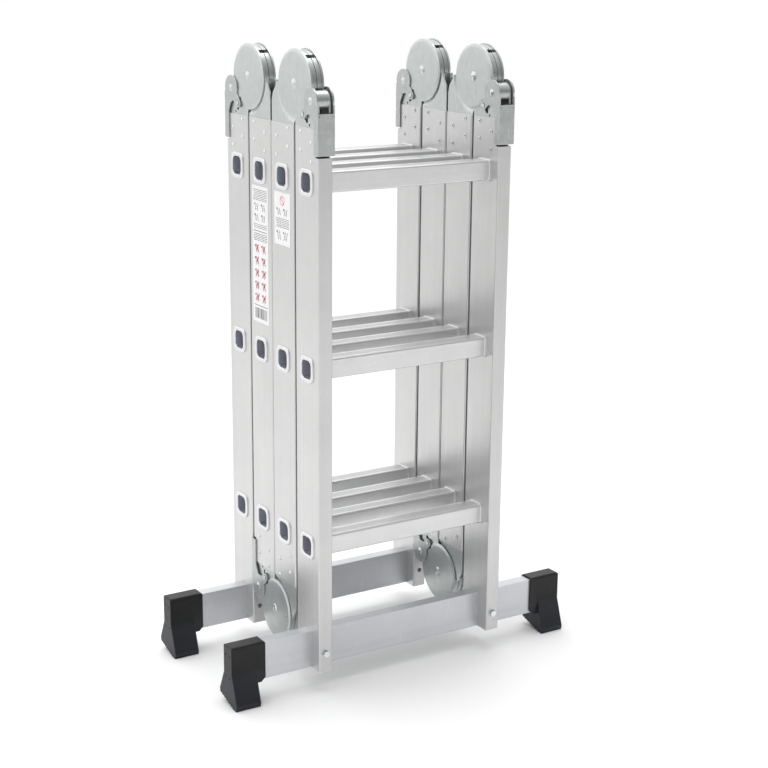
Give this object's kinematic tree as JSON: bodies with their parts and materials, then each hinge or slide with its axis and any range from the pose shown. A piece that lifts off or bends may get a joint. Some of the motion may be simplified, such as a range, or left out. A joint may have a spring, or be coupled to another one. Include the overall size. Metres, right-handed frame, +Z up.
{
  "type": "multi position ladder",
  "caption": "Folding multi-position aluminium ladder, folded: hinged rung sections with locking disc hinges and release levers, standing on two stabilizer bars with rubber feet.",
  "frame": {"origin": "on the floor, at the centre of the folded ladder's footprint", "axes": "+X across the ladder to its right side, +Y from the front section to the rear section, +Z up along the rails"},
  "size_m": [0.62, 0.3, 0.984],
  "materials": {
    "rail_aluminium": "satin extrusion",
    "rung_aluminium": "satin extrusion",
    "bar_aluminium": "satin extrusion",
    "foot_rubber": "moulded matt",
    "rivet_metal": "semi-bright",
    "bolt_zinc": "zinc plated",
    "hinge_zinc": "bright zinc plated",
    "lever_steel": "zinc plated, darker",
    "lock_pin_steel": "bright",
    "pin_steel": "zinc plated",
    "spring_steel": "drawn wire",
    "label_film": "printed film"
  },
  "bodies": {
    "front_outer": {"front_fold_hinge_pins": "pin_steel", "front_fold_left_outer_plates": "hinge_zinc", "front_fold_lever_pivots": "pin_steel", "front_fold_lever_springs": "spring_steel", "front_fold_right_outer_plates": "hinge_zinc", "front_outer_left_foot": "foot_rubber", "front_outer_left_stile": "rail_aluminium", "front_outer_right_foot": "foot_rubber", "front_outer_right_stile": "rail_aluminium", "front_outer_rivets": "rivet_metal", "front_outer_rungs": "rung_aluminium", "front_outer_stabilizer_bar": "bar_aluminium", "front_outer_stabilizer_bolts": "bolt_zinc"},
    "front_inner": {"front_fold_left_inner_plates": "hinge_zinc", "front_fold_right_inner_plates": "hinge_zinc", "front_inner_label": "label_film", "front_inner_left_stile": "rail_aluminium", "front_inner_right_stile": "rail_aluminium", "front_inner_rivets": "rivet_metal", "front_inner_rungs": "rung_aluminium", "middle_fold_left_inner_plates": "hinge_zinc", "middle_fold_right_inner_plates": "hinge_zinc"},
    "rear_inner": {"middle_fold_hinge_pins": "pin_steel", "middle_fold_left_outer_plates": "hinge_zinc", "middle_fold_lever_pivots": "pin_steel", "middle_fold_lever_springs": "spring_steel", "middle_fold_right_outer_plates": "hinge_zinc", "rear_fold_left_inner_plates": "hinge_zinc", "rear_fold_right_inner_plates": "hinge_zinc", "rear_inner_label": "label_film", "rear_inner_left_stile": "rail_aluminium", "rear_inner_right_stile": "rail_aluminium", "rear_inner_rivets": "rivet_metal", "rear_inner_rungs": "rung_aluminium"},
    "rear_outer": {"rear_fold_hinge_pins": "pin_steel", "rear_fold_left_outer_plates": "hinge_zinc", "rear_fold_lever_pivots": "pin_steel", "rear_fold_lever_springs": "spring_steel", "rear_fold_right_outer_plates": "hinge_zinc", "rear_outer_left_foot": "foot_rubber", "rear_outer_left_stile": "rail_aluminium", "rear_outer_right_foot": "foot_rubber", "rear_outer_right_stile": "rail_aluminium", "rear_outer_rivets": "rivet_metal", "rear_outer_rungs": "rung_aluminium", "rear_outer_stabilizer_bar": "bar_aluminium", "rear_outer_stabilizer_bolts": "bolt_zinc"},
    "front_fold_left_lever": {"front_fold_left_lever": "lever_steel"},
    "front_fold_left_lock_pin": {"front_fold_left_lock_pin": "lock_pin_steel"},
    "front_fold_right_lever": {"front_fold_right_lever": "lever_steel"},
    "front_fold_right_lock_pin": {"front_fold_right_lock_pin": "lock_pin_steel"},
    "middle_fold_left_lever": {"middle_fold_left_lever": "lever_steel"},
    "middle_fold_left_lock_pin": {"middle_fold_left_lock_pin": "lock_pin_steel"},
    "middle_fold_right_lever": {"middle_fold_right_lever": "lever_steel"},
    "middle_fold_right_lock_pin": {"middle_fold_right_lock_pin": "lock_pin_steel"},
    "rear_fold_left_lever": {"rear_fold_left_lever": "lever_steel"},
    "rear_fold_left_lock_pin": {"rear_fold_left_lock_pin": "lock_pin_steel"},
    "rear_fold_right_lever": {"rear_fold_right_lever": "lever_steel"},
    "rear_fold_right_lock_pin": {"rear_fold_right_lock_pin": "lock_pin_steel"}
  },
  "joints": [
    {"name": "front_fold", "type": "hinge", "parent": "front_outer", "child": "front_inner", "pos_m": [0, -0.0735, 0.934], "axis": [1, 0, 0], "range_deg": [0, 180]},
    {"name": "middle_fold", "type": "hinge", "parent": "front_inner", "child": "rear_inner", "pos_m": [0, 0, 0.091], "axis": [-1, 0, 0], "range_deg": [0, 180]},
    {"name": "rear_fold", "type": "hinge", "parent": "rear_inner", "child": "rear_outer", "pos_m": [0, 0.0735, 0.934], "axis": [1, 0, 0], "range_deg": [0, 180]},
    {"name": "front_fold_left_lever_turn", "type": "hinge", "parent": "front_outer", "child": "front_fold_left_lever", "pos_m": [-0.158, -0.1265, 0.913], "axis": [-1, 0, 0], "range_deg": [-5, 8], "stiffness_Nm_per_rad": 0.8},
    {"name": "front_fold_left_lock_pin_slide", "type": "slide", "parent": "front_outer", "child": "front_fold_left_lock_pin", "axis": [0, -0.5878, -0.809], "range_m": [-0.00267, 0.00427]},
    {"name": "front_fold_right_lever_turn", "type": "hinge", "parent": "front_outer", "child": "front_fold_right_lever", "pos_m": [0.158, -0.1265, 0.913], "axis": [-1, 0, 0], "range_deg": [-5, 8], "stiffness_Nm_per_rad": 0.8},
    {"name": "front_fold_right_lock_pin_slide", "type": "slide", "parent": "front_outer", "child": "front_fold_right_lock_pin", "axis": [0, -0.5878, -0.809], "range_m": [-0.00267, 0.00427]},
    {"name": "middle_fold_left_lever_turn", "type": "hinge", "parent": "rear_inner", "child": "middle_fold_left_lever", "pos_m": [-0.158, 0.053, 0.112], "axis": [-1, 0, 0], "range_deg": [-5, 0.9], "stiffness_Nm_per_rad": 0.8},
    {"name": "middle_fold_left_lock_pin_slide", "type": "slide", "parent": "rear_inner", "child": "middle_fold_left_lock_pin", "axis": [0, 0.5878, 0.809], "range_m": [-0.00267, 0.00049]},
    {"name": "middle_fold_right_lever_turn", "type": "hinge", "parent": "rear_inner", "child": "middle_fold_right_lever", "pos_m": [0.158, 0.053, 0.112], "axis": [-1, 0, 0], "range_deg": [-5, 0.9], "stiffness_Nm_per_rad": 0.8},
    {"name": "middle_fold_right_lock_pin_slide", "type": "slide", "parent": "rear_inner", "child": "middle_fold_right_lock_pin", "axis": [0, 0.5878, 0.809], "range_m": [-0.00267, 0.00049]},
    {"name": "rear_fold_left_lever_turn", "type": "hinge", "parent": "rear_outer", "child": "rear_fold_left_lever", "pos_m": [-0.158, 0.1265, 0.913], "axis": [1, 0, 0], "range_deg": [-5, 8], "stiffness_Nm_per_rad": 0.8},
    {"name": "rear_fold_left_lock_pin_slide", "type": "slide", "parent": "rear_outer", "child": "rear_fold_left_lock_pin", "axis": [0, 0.5878, -0.809], "range_m": [-0.00267, 0.00427]},
    {"name": "rear_fold_right_lever_turn", "type": "hinge", "parent": "rear_outer", "child": "rear_fold_right_lever", "pos_m": [0.158, 0.1265, 0.913], "axis": [1, 0, 0], "range_deg": [-5, 8], "stiffness_Nm_per_rad": 0.8},
    {"name": "rear_fold_right_lock_pin_slide", "type": "slide", "parent": "rear_outer", "child": "rear_fold_right_lock_pin", "axis": [0, 0.5878, -0.809], "range_m": [-0.00267, 0.00427]}
  ],
  "couplings": [
    {"joint": "middle_fold", "follows": "front_fold", "ratio": 1},
    {"joint": "front_fold_left_lock_pin_slide", "follows": "front_fold_left_lever_turn", "m_per_rad": 0.030534},
    {"joint": "front_fold_right_lock_pin_slide", "follows": "front_fold_right_lever_turn", "m_per_rad": 0.030534},
    {"joint": "middle_fold_left_lock_pin_slide", "follows": "middle_fold_left_lever_turn", "m_per_rad": 0.030534},
    {"joint": "middle_fold_right_lock_pin_slide", "follows": "middle_fold_right_lever_turn", "m_per_rad": 0.030534},
    {"joint": "rear_fold_left_lock_pin_slide", "follows": "rear_fold_left_lever_turn", "m_per_rad": 0.030534},
    {"joint": "rear_fold_right_lock_pin_slide", "follows": "rear_fold_right_lever_turn", "m_per_rad": 0.030534}
  ]
}
